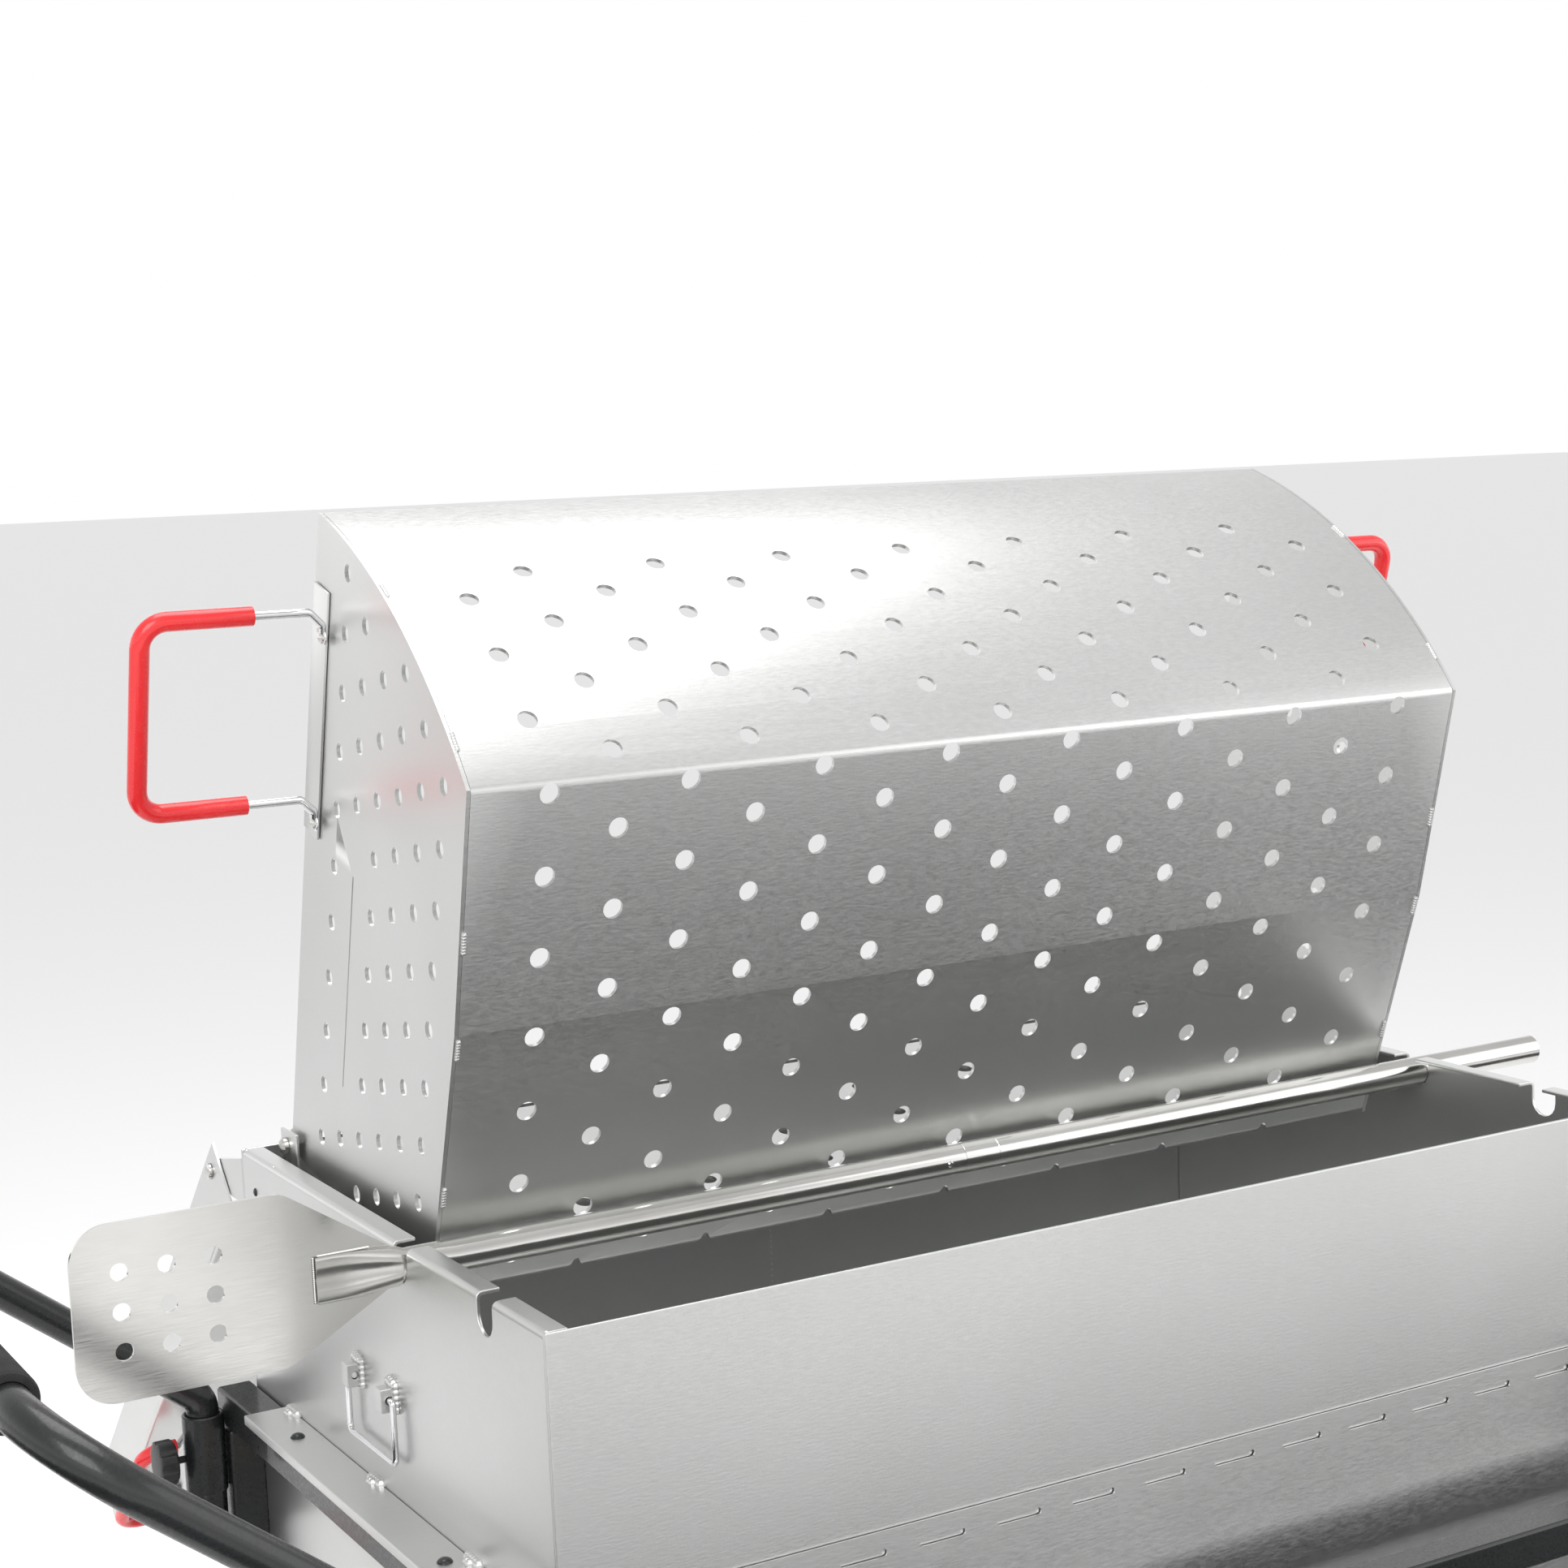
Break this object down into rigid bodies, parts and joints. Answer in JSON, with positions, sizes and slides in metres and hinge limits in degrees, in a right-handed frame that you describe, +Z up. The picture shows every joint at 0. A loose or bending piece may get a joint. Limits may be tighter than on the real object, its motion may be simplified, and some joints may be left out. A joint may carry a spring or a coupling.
{
  "type": "trough boiler",
  "caption": "Outdoor trough boiler: rectangular aluminium tank on a wheeled frame, with a perforated basket tipped up on a stir paddle, a swung-back lid and a push handle.",
  "frame": {"origin": "middle of the overall box, on the floor", "axes": "+X to the right along the tank, seen from the front; +Y to the rear; +Z up"},
  "size_m": [1.4638, 1.2652, 1.3627],
  "materials": {
    "aluminium": "satin mill finish sheet",
    "stainless": "brushed to polished stainless steel",
    "chrome": "bright plated wire",
    "red_vinyl": "glossy dipped vinyl",
    "black_frame": "satin black powder coat on square and round tube",
    "black_foam": "closed-cell foam",
    "rubber": "solid black rubber",
    "black_plastic": "moulded black plastic",
    "brass": "plain machined brass",
    "cast_iron": "raw cast surface"
  },
  "bodies": {
    "stand": {"axle": "stainless", "burner": "cast_iron", "burner_tray": "black_frame", "drain_valve": "brass", "gas_pipe": "brass", "handle_sleeve_front": "black_frame", "handle_sleeve_rear": "black_frame", "ledge_left": "aluminium", "ledge_right": "aluminium", "lid_bracket_left": "aluminium", "lid_bracket_right": "aluminium", "lid_screw_left": "stainless", "lid_screw_right": "stainless", "mid_rail_front": "black_frame", "mid_rail_rear": "black_frame", "panel_front": "aluminium", "panel_left": "aluminium", "panel_right": "aluminium", "pivot_bolt_left": "stainless", "pivot_bolt_right": "stainless", "pivot_bracket_left": "aluminium", "pivot_bracket_right": "aluminium", "post_front_left": "black_frame", "post_front_right": "black_frame", "post_rear_left": "black_frame", "post_rear_right": "black_frame", "rubber_foot_front": "rubber", "rubber_foot_rear": "rubber", "side_rail_left": "black_frame", "side_rail_right": "black_frame", "tank_end_left": "aluminium", "tank_end_right": "aluminium", "tank_wrap": "aluminium"},
    "basket": {"basket_wrap": "aluminium", "basket_side_left": "aluminium", "basket_side_right": "aluminium", "basket_handle_left": "chrome", "basket_handle_right": "chrome", "basket_grip_left": "red_vinyl", "basket_grip_right": "red_vinyl"},
    "paddle": {"paddle_tube_left": "stainless", "paddle_tube_right": "stainless", "paddle_blade": "stainless"},
    "lid": {"lid_pan": "aluminium", "lid_handle_left": "chrome", "lid_handle_right": "chrome", "lid_grip_left": "red_vinyl", "lid_grip_right": "red_vinyl"},
    "bail_wire": {"bail": "chrome"},
    "handle": {"push_handle": "black_frame", "push_grip": "black_foam"},
    "knob_front": {"clamp_knob_front": "black_plastic"},
    "knob_rear": {"clamp_knob_rear": "black_plastic"},
    "drain": {"drain_lever": "stainless", "drain_grip": "red_vinyl"},
    "gas_tap": {"gas_knob": "black_plastic"},
    "wheel_front": {"tyre_front": "rubber", "wheel_hub_front": "black_plastic"},
    "wheel_rear": {"tyre_rear": "rubber", "wheel_hub_rear": "black_plastic"}
  },
  "joints": [
    {"name": "basket_tilt", "type": "hinge", "parent": "stand", "child": "basket", "pos_m": [0.10455, 0.07468, 0.845], "axis": [-1, 0, 0], "range_deg": [0, 25]},
    {"name": "lid_swing", "type": "hinge", "parent": "stand", "child": "lid", "pos_m": [0.10455, 0.18841, 0.805], "axis": [1, 0, 0], "range_deg": [0, 130]},
    {"name": "paddle_slide", "type": "slide", "parent": "stand", "child": "paddle", "axis": [-1, 0, 0], "range_m": [0, 0.07]},
    {"name": "bail_swing", "type": "hinge", "parent": "stand", "child": "bail_wire", "pos_m": [-0.38695, -0.18409, 0.72], "axis": [0, 1, 0], "range_deg": [0, 150]},
    {"name": "handle_lift", "type": "slide", "parent": "stand", "child": "handle", "axis": [0, 0, 1], "range_m": [0, 0.065]},
    {"name": "knob_front_turn", "type": "hinge", "parent": "stand", "child": "knob_front", "pos_m": [-0.44595, -0.55859, 0.588], "axis": [-1, 0, 0], "continuous": true},
    {"name": "knob_rear_turn", "type": "hinge", "parent": "stand", "child": "knob_rear", "pos_m": [-0.44595, 0.10741, 0.588], "axis": [-1, 0, 0], "continuous": true},
    {"name": "drain_turn", "type": "hinge", "parent": "stand", "child": "drain", "pos_m": [-0.43545, -0.11859, 0.5423], "axis": [0, 0, 1], "range_deg": [0, 90]},
    {"name": "gas_turn", "type": "hinge", "parent": "stand", "child": "gas_tap", "pos_m": [0.32455, -0.54289, 0.3553], "axis": [0, -1, 0], "range_deg": [0, 90]},
    {"name": "wheel_front_turn", "type": "hinge", "parent": "stand", "child": "wheel_front", "pos_m": [0.60485, -0.60209, 0.127], "axis": [0, 1, 0], "continuous": true},
    {"name": "wheel_rear_turn", "type": "hinge", "parent": "stand", "child": "wheel_rear", "pos_m": [0.60485, 0.15091, 0.127], "axis": [0, 1, 0], "continuous": true}
  ]
}
